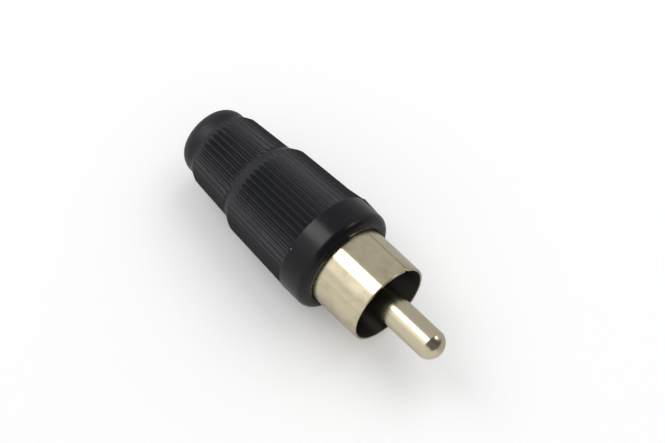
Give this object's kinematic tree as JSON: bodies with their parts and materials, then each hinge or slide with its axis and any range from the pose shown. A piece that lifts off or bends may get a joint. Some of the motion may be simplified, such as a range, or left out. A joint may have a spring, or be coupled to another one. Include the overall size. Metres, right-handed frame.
{
  "type": "phono plug",
  "caption": "Solder-type phono plug: ribbed screw-on cover, rolled nickel-plated shell with ground lug and cable clamp, hollow centre pin.",
  "frame": {"origin": "middle of the cover's flat cable end, on which the plug stands", "axes": "+Z along the plug's axis, from the cable end to the tip of the pin; the shell's seam faces -Y and the ground lug lies on the +Y side"},
  "size_m": [0.0118, 0.0118, 0.0349],
  "materials": {
    "cover_plastic": "satin black moulded ABS",
    "plated_sheet": "bright nickel plate on brass sheet",
    "insulator_plastic": "black moulded insulator",
    "fibre": "hard vulcanised fibre",
    "plated_brass": "bright nickel plate on turned brass"
  },
  "bodies": {
    "cover": {"cover": "cover_plastic"},
    "core": {"shell": "plated_sheet", "insulator": "insulator_plastic", "washer": "fibre", "centre_pin": "plated_brass"}
  },
  "joints": [
    {"name": "core_pull", "type": "slide", "parent": "cover", "child": "core", "axis": [0, 0, 1], "range_m": [0, 0.02]}
  ]
}
